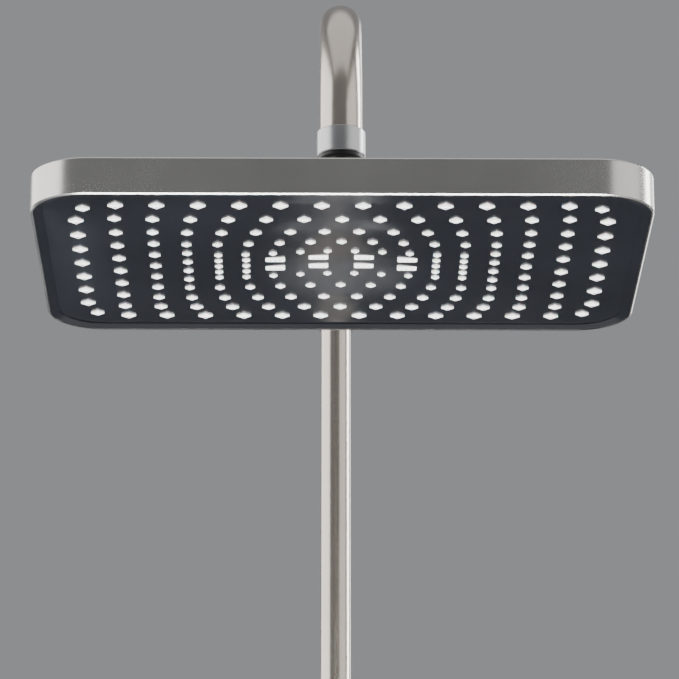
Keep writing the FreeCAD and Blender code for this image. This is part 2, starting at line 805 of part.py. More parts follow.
def make_riser_flange():
    """Ring brazed round the top of the sliding tube, held by the swivel nut."""
    low = riser_top - riser_flange
    return move(pipe(riser_flange_r, upper_tube_r + thread_gap, point(0, 0, low), Z_AXIS,
                     riser_flange), riser_foot)


def make_slip_washer():
    """Low-friction washer between the sliding tube's flange and the spigot."""
    return move(pipe(riser_flange_r, upper_tube_bore + free_gap, point(0, 0, riser_top), Z_AXIS,
                     slip_washer), riser_foot)


def piston_seal_levels():
    return [upper_riser_low - piston_length * share for share in piston_seal_shares]


def make_riser_piston():
    """Brass piston on the lower end of the sliding tube."""
    low = upper_riser_low - piston_length
    body = joined(
        rod(tube_bore - running_gap * 2, point(0, 0, low), Z_AXIS, piston_length),
        rod(upper_tube_bore - thread_gap, point(0, 0, upper_riser_low), Z_AXIS, piston_grip),
    )
    body = body.cut(rod(spigot_bore, point(0, 0, low - 1), Z_AXIS, piston_length + piston_grip + 2))
    grooves = [seal_groove(tube_bore, point(0, 0, level), Z_AXIS)
               for level in piston_seal_levels()]
    return move(body.cut(grooves), riser_foot)


def make_piston_seals():
    circle = tube_bore - running_gap - o_ring_r
    rings = [ring_seal(circle, o_ring_r, riser_foot + point(0, 0, level), Z_AXIS)
             for level in piston_seal_levels()]
    return Part.makeCompound(rings)


# ---------------------------------------------------------------- the fixed tube and its clamp
def make_lower_riser():
    return move(pipe(tube_r, tube_bore, point(0, 0, lower_riser_low), Z_AXIS,
                     lower_riser_top - lower_riser_low), riser_foot)


def make_guide_bush():
    """Plastic bush in the fixed tube's mouth, which guides the sliding tube."""
    top = lower_riser_top + bush_flange
    body = joined(
        rod(tube_bore - thread_gap, point(0, 0, lower_riser_top - bush_depth), Z_AXIS, bush_depth),
        rod(tube_r, point(0, 0, lower_riser_top), Z_AXIS, bush_flange),
    )
    bore = rod(upper_tube_r + running_gap, point(0, 0, top - 2 * bush_depth), Z_AXIS, 2 * bush_depth + 1)
    return move(body.cut(bore), riser_foot)


def make_clamp_sleeve():
    """Threaded sleeve brazed on the fixed tube."""
    low = lower_riser_top - sleeve_below
    return move(pipe(sleeve_r, tube_r + thread_gap, point(0, 0, low), Z_AXIS, sleeve_top - low), riser_foot)


def make_clamp_collet():
    """Split tapered ring that the nut squeezes on to the sliding tube."""
    inner = upper_tube_r + running_gap
    step = sleeve_top + 0.1
    cone_low = collet_low + collet_height - collet_cone
    body = turned([
        (inner, collet_low), (tube_r, collet_low), (tube_r, step), (collet_r, step),
        (collet_r, cone_low), (tube_r, cone_low + collet_cone), (inner, cone_low + collet_cone),
    ])
    slit = Part.makeBox(collet_r * 2, collet_slit, collet_height * 2,
                        point(0, -collet_slit / 2, collet_low - 1))
    return move(body.cut(slit), riser_foot)


def make_height_clamp_nut():
    """Fluted nut over the sleeve and the collet."""
    cone_low = collet_low + collet_height - collet_cone
    cone_top = cone_low + collet_cone
    top = cone_top + free_gap + clamp_nut_lip
    low = cone_low - clamp_nut_skirt
    body = turned([
        (clamp_nut_bore, low), (clamp_nut_r - clamp_nut_low_bevel, low),
        (clamp_nut_r, low + clamp_nut_low_bevel), (clamp_nut_r, top - clamp_nut_top_bevel),
        (clamp_nut_r - clamp_nut_top_bevel, top), (upper_tube_r + free_gap, top),
        (upper_tube_r + free_gap, cone_top + free_gap), (tube_r + free_gap, cone_top + free_gap),
        (collet_r + free_gap * 2, cone_low), (clamp_nut_bore, cone_low),
    ])
    flutes = []
    for i in range(clamp_nut_flutes):
        angle = 2 * math.pi * i / clamp_nut_flutes
        distance = clamp_nut_r + flute_out
        start = low + clamp_nut_plain_low
        centre = point(distance * math.cos(angle), distance * math.sin(angle), start)
        flutes.append(rod(flute_r, centre, Z_AXIS, top - clamp_nut_plain_top - start))
    return move(body.cut(flutes), riser_foot)


# ---------------------------------------------------------------- the wall bracket
def bracket_base():
    return FreeCAD.Vector(0, 0, bracket_level)


def make_bracket_liner():
    low = bracket_level - bracket_ring_height / 2
    liner = pipe(tube_r + thread_gap + bracket_liner_wall, tube_r + thread_gap,
                 point(0, 0, low), Z_AXIS, bracket_ring_height)
    return move(liner, riser_foot)


def make_bracket_arm():
    """Ring round the fixed tube, with the stem that goes to the wall."""
    inner = tube_r + 2 * thread_gap + bracket_liner_wall
    outer = inner + bracket_ring_wall
    low = bracket_level - bracket_ring_height / 2
    ring = rod(outer, riser_foot + point(0, 0, low), Z_AXIS, bracket_ring_height)
    rims = [e for e in ring.Edges if e.Closed and len(e.Vertexes) == 1]
    ring = ring.makeFillet(bracket_edge, rims)
    boss_front = -wall_plate - wall_boss
    stem = rod(stem_r, riser_foot + bracket_base(), Y_AXIS, riser_stand_off + boss_front)
    spigot = rod(stem_spigot_r, point(0, boss_front, bracket_level), Y_AXIS, stem_spigot)
    body = joined(ring, stem, spigot)
    return body.cut(rod(inner, riser_foot + point(0, 0, low - 1), Z_AXIS, bracket_ring_height + 2))


def make_wall_plate():
    """Round plate on the wall, with two screw holes and a boss for the stem."""
    body = joined(
        rod(wall_plate_r, bracket_base(), -Y_AXIS, wall_plate),
        rod(wall_boss_r, bracket_base(), -Y_AXIS, wall_plate + wall_boss),
    )
    cuts = [rod(stem_spigot_r + thread_gap, bracket_base() + point(0, 1, 0), -Y_AXIS,
                wall_plate + wall_boss + 2)]
    for side in (-1, 1):
        hole = bracket_base() + point(side * wall_hole_spacing / 2, 1, 0)
        cuts.append(rod(wall_hole_r, hole, -Y_AXIS, wall_plate + 2))
    cuts.append(rod(grub_r + thread_gap, grub_place(), -Z_AXIS, wall_boss_r + 1))
    return body.cut(cuts)


def grub_place():
    return point(0, -wall_plate - wall_boss * grub_share, bracket_level)


def make_bracket_grub_screw():
    """Set screw under the boss, which holds the stem."""
    start = grub_place() - point(0, 0, stem_spigot_r)
    length = wall_boss_r - stem_spigot_r - free_gap
    screw = rod(grub_r, start, -Z_AXIS, length)
    socket = rod(grub_socket_r, start - point(0, 0, length - grub_socket), -Z_AXIS, 2 * grub_socket)
    return screw.cut(socket)


def make_cover_flange():
    """Thin round cover over the wall plate."""
    shell = lay_back(turned([
        (cover_flange_r, 0), (cover_flange_r, cover_flange_edge),
        (cover_flange_r - cover_flange_slope, cover_flange_depth),
        (wall_boss_r + plate_gap, cover_flange_depth),
        (wall_boss_r + plate_gap, cover_flange_depth - flange_wall),
        (cover_flange_r - cover_flange_slope - flange_wall, cover_flange_depth - flange_wall),
        (cover_flange_r - flange_wall, cover_flange_edge), (cover_flange_r - flange_wall, 0),
    ]))
    return move(shell, bracket_base())


# ---------------------------------------------------------------- the diverter
def make_diverter_body():
    """Brass body: an upright barrel with a spout, a rear barrel and a front barrel."""
    upright = rod(upright_r, riser_foot - point(0, 0, barrel_below), Z_AXIS, barrel_below + barrel_above)
    rims = [e for e in upright.Edges if e.Closed and len(e.Vertexes) == 1]
    upright = upright.makeFillet(barrel_edge, rims)
    body = joined(
        upright,
        rod(spout_r, riser_foot + point(0, 0, barrel_above), Z_AXIS, spout_height),
        rod(rear_barrel_r, riser_foot, Y_AXIS, riser_stand_off - rear_barrel_gap),
        rod(barrel_r, riser_foot, -Y_AXIS, front_barrel),
    )
    rear_end = point(0, -rear_barrel_gap, 0)
    cuts = [
        rod(tube_r + thread_gap, riser_foot + point(0, 0, lower_riser_low), Z_AXIS, tube_seat + 1),
        rod(riser_bore, riser_foot + point(0, 0, port_blind), Z_AXIS, spout_top),
        rod(hose_root_r + thread_gap, riser_foot - point(0, 0, barrel_below + 1), Z_AXIS, hose_root + 1),
        rod(hose_bore_r, riser_foot - point(0, 0, barrel_below), Z_AXIS, barrel_below - port_blind),
        rod(inlet_root_r + thread_gap, rear_end + point(0, 1, 0), -Y_AXIS, inlet_engagement + 1),
        rod(inlet_bore, rear_end, -Y_AXIS, riser_stand_off + front_barrel - chamber_depth),
        rod(chamber_r, point(0, front_end - 1, 0), Y_AXIS, chamber_depth + 1),
    ]
    for side in (-1, 1):
        cuts.append(rod(port_r, riser_foot + point(0, 0, side * port_offset), -Y_AXIS, front_barrel - 1))
    return body.cut(cuts)


def make_riser_union_nut():
    """Nut that clamps the fixed tube on the diverter's spout."""
    low = barrel_above + free_gap
    seat = spout_top + union_seal
    top = seat + union_nut_lip
    body = rod(union_nut_r, point(0, 0, low), Z_AXIS, top - low)
    rims = [e for e in body.Edges if e.Closed and len(e.Vertexes) == 1]
    body = body.makeChamfer(union_nut_bevel, rims)
    body = body.cut([
        rod(spout_r + thread_gap, point(0, 0, low - 1), Z_AXIS, seat - low + 1),
        rod(tube_r + thread_gap, point(0, 0, low), Z_AXIS, top),
    ])
    return move(body, riser_foot)


def make_union_seal():
    """Square-section ring squeezed round the fixed tube by the union nut."""
    return move(pipe(spout_r - thread_gap, tube_r + thread_gap, point(0, 0, spout_top), Z_AXIS,
                     union_seal), riser_foot)


def make_inlet_nipple():
    """Threaded nipple from the diverter into the pipe in the wall."""
    rear_end = -rear_barrel_gap
    start = point(0, rear_end - inlet_engagement, 0)
    root = rod(inlet_root_r, start, Y_AXIS, inlet_engagement + rear_barrel_gap - inlet_thread_start)
    thread = rod(inlet_thread_r, point(0, -inlet_thread_start, 0), Y_AXIS,
                 inlet_thread_start + inlet_beyond_wall)
    bore = rod(inlet_bore_r, start - point(0, 1, 0), Y_AXIS,
               inlet_engagement + rear_barrel_gap + inlet_beyond_wall + 2)
    return joined(root, thread).cut(bore)


def make_escutcheon():
    """Round cover over the inlet, from the wall to the rear barrel."""
    inner = rear_barrel_r + plate_gap
    back = escutcheon_depth - flange_wall
    return lay_back(turned([
        (escutcheon_r, 0), (escutcheon_r, escutcheon_edge), (escutcheon_face_r, escutcheon_depth),
        (inner, escutcheon_depth), (inner, back), (escutcheon_face_r - flange_wall, back),
        (escutcheon_r - escutcheon_side_wall, escutcheon_edge), (escutcheon_r - escutcheon_side_wall, 0),
    ]))


def make_hose_nipple():
    """Outlet under the body, for a hand shower's hose."""
    low = -barrel_below - hose_seal
    body = joined(
        rod(hose_root_r, point(0, 0, low), Z_AXIS, hose_root + hose_seal - hose_seat),
        rod(hose_flange_r, point(0, 0, low - hose_flange), Z_AXIS, hose_flange),
        rod(hose_thread_r, point(0, 0, low - hose_flange - hose_thread), Z_AXIS, hose_thread),
    )
    bore = rod(hose_bore_r, point(0, 0, low - hose_flange - hose_thread - 1), Z_AXIS, barrel_below * 2)
    return move(body.cut(bore), riser_foot)


def make_hose_nipple_seal():
    ring = pipe(hose_flange_r - 1, hose_root_r + thread_gap, point(0, 0, -barrel_below - hose_seal),
                Z_AXIS, hose_seal)
    return move(ring, riser_foot)


def make_check_valve():
    """Non-return cartridge in the hose outlet, a sealed piece with four ribs inside."""
    low = -barrel_below - hose_flange - valve_length * 0.6
    outer = hose_bore_r - thread_gap
    inner = outer - valve_wall
    reach = inner + valve_wall / 2
    rib_low = low + valve_length / 2
    body = pipe(outer, inner, point(0, 0, low), Z_AXIS, valve_length)
    poppet = rod(inner - valve_poppet_gap, point(0, 0, low + valve_length * 0.4), Z_AXIS,
                 valve_length * 0.35)
    ribs = [Part.makeBox(2 * reach, valve_rib, valve_rib_height, point(-reach, -valve_rib / 2, rib_low)),
            Part.makeBox(valve_rib, 2 * reach, valve_rib_height, point(-valve_rib / 2, -reach, rib_low))]
    return move(joined(body, poppet, *ribs), riser_foot)


# ---------------------------------------------------------------- the diverter's cartridge
def ceramic_disc(radius, start, thickness):
    return rod(radius, point(0, start, 0), -Y_AXIS, thickness)


def make_fixed_disc():
    """Ceramic disc with three ports, which rests on the chamber's floor."""
    disc = ceramic_disc(fixed_disc_r, chamber_floor, disc_thick)
    ports = [rod(inlet_bore, point(0, chamber_floor + 1, 0), -Y_AXIS, disc_thick + 2)]
    ports += [rod(port_r, point(0, chamber_floor + 1, side * port_offset), -Y_AXIS, disc_thick + 2)
              for side in (-1, 1)]
    return disc.cut(ports)


def make_moving_disc():
    """Ceramic disc with a pocket that links the middle port to one outer port."""
    start = chamber_floor - disc_thick - running_gap
    disc = ceramic_disc(moving_disc_r, start, disc_thick)
    outer_port = moving_disc_r - port_r - pocket_rim
    pocket = joined(
        rod(inlet_bore, point(0, start + 1, 0), -Y_AXIS, pocket_depth + 1),
        rod(port_r, point(0, start + 1, outer_port), -Y_AXIS, pocket_depth + 1),
        Part.makeBox(port_r * 2, pocket_depth + 1, outer_port, point(-port_r, start - pocket_depth, 0)),
    )
    slot_width = tongue_thick + 2 * running_gap
    tongue = Part.makeBox(4 * moving_disc_r, tongue_height + 2 * running_gap, slot_width,
                          point(-2 * moving_disc_r, start - disc_thick, -slot_width / 2))
    return disc.cut([pocket, tongue])


def make_spindle():
    """Shaft that turns the moving disc: a flange with a tongue, and a shank into the knob."""
    disc_front = chamber_floor - 2 * disc_thick - running_gap
    tongue_reach = spindle_flange_r * 0.9
    body = joined(
        rod(spindle_flange_r, point(0, disc_front, 0), -Y_AXIS, spindle_flange),
        rod(spindle_r, point(0, disc_front, 0), -Y_AXIS, disc_front - spindle_front),
        Part.makeBox(2 * tongue_reach, tongue_height, tongue_thick,
                     point(-tongue_reach, disc_front, -tongue_thick / 2)),
    )
    tap = rod(knob_screw_r + thread_gap, point(0, spindle_front - 1, 0), Y_AXIS, knob_screw_length + 1.5)
    groove = seal_groove(spindle_r, point(0, spindle_seal_place(), 0), Y_AXIS)
    return body.cut([tap, groove])


def spindle_seal_place():
    return chamber_floor - 2 * disc_thick - spindle_flange - cartridge_length * 0.35


def make_spindle_seal():
    circle = spindle_r - running_gap - o_ring_r
    return ring_seal(circle, o_ring_r, point(0, spindle_seal_place(), 0), Y_AXIS)


def make_cartridge_housing():
    """Plastic housing round the moving disc and the spindle."""
    disc_front = chamber_floor - disc_thick
    outer = chamber_r - thread_gap * 2
    body = rod(outer, point(0, disc_front, 0), -Y_AXIS, cartridge_length)
    flange_front = disc_thick + running_gap + spindle_flange + free_gap
    cuts = [
        rod(moving_disc_r + free_gap, point(0, disc_front + 1, 0), -Y_AXIS, flange_front + 1),
        rod(spindle_r + running_gap, point(0, disc_front, 0), -Y_AXIS, cartridge_length + 1),
    ]
    return body.cut(cuts)


def make_cartridge_nut():
    """Ring nut that holds the cartridge in the front barrel."""
    inner_face = chamber_floor - disc_thick - cartridge_length
    body = joined(
        rod(chamber_r - thread_gap, point(0, inner_face, 0), -Y_AXIS, inner_face - front_end),
        rod(barrel_r, point(0, front_end, 0), -Y_AXIS, cartridge_nut_face),
    )
    front_rim = [e for e in body.Edges if e.Closed and abs(e.BoundBox.YMin - cartridge_nut_front) < 1e-6]
    body = body.makeChamfer(cartridge_nut_bevel, front_rim)
    return body.cut(rod(spindle_r + free_gap, point(0, inner_face + 1, 0), -Y_AXIS, 40))


def make_knob():
    """Fluted knob with a short lever on top."""
    body = rod(knob_r, point(0, knob_back, 0), -Y_AXIS, knob_length)
    rims = [e for e in body.Edges if e.Closed and len(e.Vertexes) == 1]
    body = body.makeFillet(knob_edge, rims)
    lever = rod(lever_r, point(0, (knob_back + knob_front) / 2, knob_r - lever_root), Z_AXIS,
                lever_length)
    tip = [e for e in lever.Edges if e.Closed and e.BoundBox.ZMin > knob_r]
    body = joined(body, lever.makeFillet(lever_edge, tip))
    cuts = [
        rod(spindle_r + thread_gap, point(0, knob_back + 1, 0), -Y_AXIS, knob_seat + 1),
        rod(knob_screw_r + free_gap, point(0, knob_back, 0), -Y_AXIS, knob_length),
        rod(knob_cap_r + thread_gap, point(0, knob_front - 1, 0), Y_AXIS,
            knob_length - knob_seat - 1),
    ]
    for i in range(knob_flutes):
        angle = 2 * math.pi * (i + 0.5) / knob_flutes
        distance = knob_r + flute_out
        centre = point(distance * math.sin(angle), knob_back - knob_plain, distance * math.cos(angle))
        near_lever = abs(centre.x) < lever_r + flute_r and centre.z > 0
        if not near_lever:
            cuts.append(rod(flute_r, centre, -Y_AXIS, knob_length - 2 * knob_plain))
    return body.cut(cuts)


def make_knob_screw():
    """Screw through the knob into the spindle."""
    seat = spindle_front - 2
    body = joined(
        rod(knob_screw_r, point(0, seat, 0), Y_AXIS, knob_screw_length + 2),
        rod(knob_screw_head_r, point(0, seat, 0), -Y_AXIS, knob_screw_head),
    )
    socket = rod(knob_screw_socket_r, point(0, seat - knob_screw_head - 1, 0), Y_AXIS,
                 knob_screw_socket + 1)
    return body.cut(socket)


def make_knob_cap():
    """Button that closes the knob's front."""
    cap = rod(knob_cap_r, point(0, knob_front, 0), Y_AXIS, knob_cap)
    front = [e for e in cap.Edges if e.Closed and abs(e.BoundBox.YMax - knob_front) < 1e-6]
    return cap.makeFillet(knob_cap_edge, front)


# ---------------------------------------------------------------- writing the pieces
def at_head(shape):
    return move(shape, head_origin)


def pieces():
    """Every node's name and shape."""
    yield "head_cover", at_head(make_head_cover())
    yield "spray_plate", at_head(make_spray_plate())
    yield "nozzle_mat", at_head(make_nozzle_mat())
    yield "water_chamber", at_head(make_water_chamber())
    yield "plate_screws", at_head(make_plate_screws())
    yield "ball_socket", at_head(make_ball_socket())
    yield "ball_seal", at_head(ball_seal_ring(ball_seal_r))
    yield "socket_nut", at_head(make_socket_nut())
    yield "lower_ball_liner", at_head(sphere_zone(liner_inner, liner_outer, *lower_liner_angles))
    yield "upper_ball_liner", at_head(sphere_zone(liner_inner, liner_outer, *upper_liner_angles))
    yield "swivel_ball", at_head(make_swivel_ball())
    yield "shade_ring", at_head(make_shade_ring())
    yield "inlet_filter", at_head(make_inlet_filter())
    yield "arm_end_nipple", at_head(make_arm_end_nipple())
    yield "shower_arm", make_shower_arm()
    yield "swivel_spigot", make_swivel_spigot()
    yield "spigot_seals", make_spigot_seals()
    yield "arm_swivel_nut", make_arm_swivel_nut()
    yield "slip_washer", make_slip_washer()
    yield "riser_flange", make_riser_flange()
    yield "upper_riser", make_upper_riser()
    yield "riser_piston", make_riser_piston()
    yield "piston_seals", make_piston_seals()
    yield "height_clamp_nut", make_height_clamp_nut()
    yield "clamp_collet", make_clamp_collet()
    yield "guide_bush", make_guide_bush()
    yield "clamp_sleeve", make_clamp_sleeve()
    yield "lower_riser", make_lower_riser()
    yield "bracket_liner", make_bracket_liner()
    yield "bracket_arm", make_bracket_arm()
    yield "bracket_grub_screw", make_bracket_grub_screw()
    yield "wall_plate", make_wall_plate()
    yield "cover_flange", make_cover_flange()
    yield "diverter_body", make_diverter_body()
    yield "riser_union_nut", make_riser_union_nut()
    yield "union_seal", make_union_seal()
    yield "inlet_nipple", make_inlet_nipple()
    yield "escutcheon", make_escutcheon()
    yield "hose_nipple", make_hose_nipple()
    yield "hose_nipple_seal", make_hose_nipple_seal()
    yield "check_valve", make_check_valve()
    yield "fixed_disc", make_fixed_disc()
    yield "moving_disc", make_moving_disc()
    yield "spindle", make_spindle()
    yield "spindle_seal", make_spindle_seal()
    yield "cartridge_housing", make_cartridge_housing()
    yield "cartridge_nut", make_cartridge_nut()
    yield "knob", make_knob()
    yield "knob_screw", make_knob_screw()
    yield "knob_cap", make_knob_cap()


os.makedirs("parts", exist_ok=True)
for name, shape in pieces():
    if not shape.isValid():
        raise ValueError(name + " is not a valid solid")
    print(name, len(shape.Solids), round(shape.Volume, 1))
    shape.exportStep("parts/" + name + ".step")
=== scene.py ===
import json
import math
import bpy
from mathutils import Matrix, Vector


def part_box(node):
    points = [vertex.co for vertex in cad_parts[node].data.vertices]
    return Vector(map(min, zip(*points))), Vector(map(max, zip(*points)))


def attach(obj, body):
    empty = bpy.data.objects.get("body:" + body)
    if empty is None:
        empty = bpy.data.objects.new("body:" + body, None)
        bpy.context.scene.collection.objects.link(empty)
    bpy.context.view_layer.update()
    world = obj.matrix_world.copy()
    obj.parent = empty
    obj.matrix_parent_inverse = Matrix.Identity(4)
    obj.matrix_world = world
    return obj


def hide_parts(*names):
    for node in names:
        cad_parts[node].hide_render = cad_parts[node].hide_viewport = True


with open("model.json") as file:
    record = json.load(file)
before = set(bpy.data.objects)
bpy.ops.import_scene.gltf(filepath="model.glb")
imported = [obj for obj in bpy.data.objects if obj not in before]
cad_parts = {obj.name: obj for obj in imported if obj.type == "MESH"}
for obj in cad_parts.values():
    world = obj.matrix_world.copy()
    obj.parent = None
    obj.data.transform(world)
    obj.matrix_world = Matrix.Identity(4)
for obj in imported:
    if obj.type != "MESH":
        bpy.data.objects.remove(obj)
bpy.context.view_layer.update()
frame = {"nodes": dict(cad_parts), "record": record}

MM = 0.001
head_low, head_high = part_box("head_cover")
head_axis = (head_low + head_high) / 2
head_plane = head_low.z
# The spray pattern is worked out in millimetres from the head's axis.
half_x = (head_high.x - head_low.x) / 2 / MM
half_y = (head_high.y - head_low.y) / 2 / MM


# ------------------------------------------------------------------ camera
def make_camera():
    """Long lens below the head and in front of it, looking up at the spray face."""
    focal_share = 6.037             # focal length as a share of the sensor's width
    sensor_width = 36.0
    pitch = math.radians(18.752)
    yaw = math.radians(0.45)
    offset = Vector((-0.0164, -1.9816, -0.7129))
    data = bpy.data.cameras.new("camera")
    data.sensor_width = sensor_width
    data.lens = focal_share * sensor_width
    data.clip_start = 0.05
    camera = bpy.data.objects.new("camera", data)
    camera.location = Vector((head_axis.x, head_axis.y, head_plane)) + offset
    camera.rotation_euler = (math.pi / 2 + pitch, 0, -yaw)
    bpy.context.scene.collection.objects.link(camera)
    bpy.context.scene.camera = camera


# ------------------------------------------------------------------ studio
def area_light(name, place, target, size, power, colour=(1, 1, 1), spread=180):
    """A rectangular lamp, invisible to the camera, that faces its target."""
    data = bpy.data.lights.new(name, "AREA")
    data.shape = "RECTANGLE"
    data.size, data.size_y = size
    data.energy = power
    data.color = colour
    data.spread = math.radians(spread)
    light = bpy.data.objects.new(name, data)
    light.location = place
    aim = Vector(target) - Vector(place)
    light.rotation_euler = aim.to_track_quat("-Z", "Y").to_euler()
    light.visible_camera = False
    bpy.context.scene.collection.objects.link(light)


def wall_light(name, side_x, y, width, power, colour=(1, 1, 1)):
    """A tall lamp that stands beside the column and faces straight across."""
    wall_level = 1.5
    wall_height = 2.8
    area_light(name, (side_x, y, wall_level), (0, y, wall_level), (width, wall_height), power, colour)


def make_studio():
    """Pale floor, even grey surroundings, and large soft lights on every side."""
    floor_size = 6.0
    floor_level = -1.1
    bpy.ops.mesh.primitive_plane_add(size=floor_size, location=(0, head_axis.y / 2, floor_level))
    floor = bpy.context.object
    floor.name = "floor"
    floor.data.materials.append(surface(
        "floor_paint", (0.80, 0.79, 0.77), roughness=0.8, grain=60, bump=0.05, tint_spread=0.03))

    make_surroundings()
    wall_light("left_wall", -2.15, 0.35, 4.7, 135, (1.0, 0.99, 0.985))
    wall_light("right_wall", 2.15, -2.2, 3.6, 44, (1.0, 0.985, 0.96))
    wall_light("right_strip", 2.15, 0.75, 0.7, 105)

    head = (0, head_axis.y, head_plane)
    area_light("back_box", (1.5, 2.5, 1.7), head, (1.0, 2.2), 26)
    area_light("top_box", (0.0, -0.6, 3.0), head, (3.0, 3.0), 26)
    area_light("low_fill", (0.1, -2.7, -0.5), head, (2.0, 0.8), 13, spread=50)
    area_light("under_box", (0, head_axis.y - 0.35, -1.0), head, (1.2, 0.8), 13, spread=50)
    area_light("edge_glow", (-0.64, 2.4, -0.12), head, (0.42, 0.5), 1.2, (0.75, 0.88, 1.0))


def make_surroundings():
    """Even grey above the horizon, darker below it."""
    world = bpy.data.worlds.new("studio")
    world.use_nodes = True
    bpy.context.scene.world = world
    tree = world.node_tree
    place = tree.nodes.new("ShaderNodeTexCoord")
    split = tree.nodes.new("ShaderNodeSeparateXYZ")
    ramp = tree.nodes.new("ShaderNodeValToRGB")
    height = tree.nodes.new("ShaderNodeMapRange")
    height.inputs["From Min"].default_value = -0.12
    height.inputs["From Max"].default_value = 0.10
    ramp.color_ramp.elements[0].color = (0.085, 0.087, 0.092, 1)
    ramp.color_ramp.elements[1].color = (0.275, 0.28, 0.29, 1)
    tree.links.new(place.outputs["Generated"], split.inputs["Vector"])
    tree.links.new(split.outputs["Z"], height.inputs["Value"])
    tree.links.new(height.outputs["Result"], ramp.inputs["Fac"])
    tree.links.new(ramp.outputs["Color"], tree.nodes["Background"].inputs["Color"])


# ------------------------------------------------------------------ materials
def surface(name, tint, roughness, grain, bump, tint_spread=0.06, rough_spread=0.06,
            stretch=(1, 1, 1), metallic=0.0, specular=0.5, subsurface=0.0, patches=9.0):
    """A procedural surface: broad tonal patches, and a fine grain in colour, roughness and bump.

    grain and patches are the scales of the two noises, and stretch draws the grain out along an axis.
    """
    material = bpy.data.materials.new(name)
    material.use_nodes = True
    tree = material.node_tree
    shader = tree.nodes["Principled BSDF"]

    def node(kind, **inputs):
        made = tree.nodes.new(kind)
        for key, value in inputs.items():
            made.inputs[key].default_value = value
        return made

    def link(source, socket, target, to):
        tree.links.new(source.outputs[socket], target.inputs[to])

    def ramp(source, start, end, dark, light):
        made = node("ShaderNodeValToRGB")
        for element, position, colour in zip(made.color_ramp.elements, (start, end), (dark, light)):
            element.position = position
            element.color = (*colour, 1)
        link(source, "Fac", made, "Fac")
        return made

    place = node("ShaderNodeTexCoord")
    mapping = node("ShaderNodeMapping", Scale=[grain * s for s in stretch])
    link(place, "Object", mapping, "Vector")
    fine = node("ShaderNodeTexNoise", Scale=1.0, Detail=4.0, Roughness=0.62)
    link(mapping, "Vector", fine, "Vector")
    broad = node("ShaderNodeTexNoise", Scale=patches, Detail=3.0, Roughness=0.55)
    link(place, "Object", broad, "Vector")

    darker = [c * (1 - tint_spread) for c in tint]
    lighter = [min(1, c * (1 + tint_spread)) for c in tint]
    tone = ramp(broad, 0.3, 0.7, darker, lighter)
    speckle = ramp(fine, 0.32, 0.68, [1 - tint_spread * 1.3] * 3, (1, 1, 1))
    blend = node("ShaderNodeMix")
    blend.data_type = "RGBA"
    blend.blend_type = "MULTIPLY"
    blend.inputs["Factor"].default_value = 1.0
    link(tone, "Color", blend, "A")
    link(speckle, "Color", blend, "B")
    link(blend, "Result", shader, "Base Color")

    uneven = node("ShaderNodeMath")
    uneven.operation = "ADD"
    tree.links.new(fine.outputs["Fac"], uneven.inputs[0])
    tree.links.new(broad.outputs["Fac"], uneven.inputs[1])
    matt = node("ShaderNodeMapRange")
    matt.inputs["From Min"].default_value = 0.6
    matt.inputs["From Max"].default_value = 1.4
    matt.inputs["To Min"].default_value = max(0.02, roughness - rough_spread)
    matt.inputs["To Max"].default_value = min(1.0, roughness + rough_spread)
    link(uneven, "Value", matt, "Value")
    link(matt, "Result", shader, "Roughness")

    relief = node("ShaderNodeBump", Strength=bump, Distance=0.0004)
    link(fine, "Fac", relief, "Height")
    link(relief, "Normal", shader, "Normal")

    shader.inputs["Metallic"].default_value = metallic
    shader.inputs["Specular IOR Level"].default_value = specular
    shader.inputs["Subsurface Weight"].default_value = subsurface
    shader.inputs["Subsurface Scale"].default_value = 0.002
    return material


def make_materials():
    """One material for each of the record's material slots."""
    brushed = (0.04, 1, 1)
    return {
        "cover": surface("satin_gunmetal", (0.46, 0.45, 0.43), 0.25, 1700, 0.04, 0.05, 0.05,
                         metallic=1.0, patches=14),
        "black_gloss": surface("black_gloss", (0.0075, 0.0083, 0.0105), 0.14, 900, 0.05, 0.2, 0.05,
                               specular=0.12),
        "silicone": surface("white_silicone", (0.95, 0.945, 0.925), 0.42, 1600, 0.12, 0.03, 0.08,
                            specular=0.45, subsurface=0.15),
        "tube": surface("warm_nickel_tube", (0.46, 0.413, 0.366), 0.23, 2400, 0.08, 0.05, 0.05,
                        stretch=brushed, metallic=1.0),
        "fitting": surface("satin_fitting", (0.40, 0.405, 0.41), 0.33, 1800, 0.16, 0.06, 0.06,
                           metallic=1.0),
        "raw_brass": surface("turned_brass", (0.66, 0.50, 0.24), 0.30, 1600, 0.2, 0.1, 0.08,
                             metallic=1.0, stretch=(0.2, 0.2, 1)),
        "inner_plastic": surface("grey_moulding", (0.36, 0.37, 0.38), 0.5, 1100, 0.25, 0.07),
        "liner": surface("white_liner", (0.78, 0.77, 0.73), 0.45, 1200, 0.2, 0.05),
        "dark_plastic": surface("dark_moulding", (0.014, 0.014, 0.015), 0.42, 1300, 0.3, 0.15,
                                specular=0.3),
        "seal": surface("black_rubber", (0.02, 0.02, 0.02), 0.65, 1400, 0.4, 0.2, specular=0.3),
        "disc": surface("lapped_ceramic", (0.80, 0.79, 0.76), 0.18, 900, 0.05, 0.03),
        "steel_screw": surface("bright_steel", (0.55, 0.55, 0.55), 0.25, 2000, 0.2, 0.08,
                               metallic=1.0),
    }


def dress_cad_nodes(materials):
    """Gives every CAD node the material of its slot."""
    for subpart in frame["record"]["subparts"]:
        mesh = frame["nodes"][subpart["node"]].data
        mesh.materials.clear()
        mesh.materials.append(materials[subpart["material_slot"]])


# ------------------------------------------------------------------ mesh helpers
SHARP_ANGLE = math.radians(38)


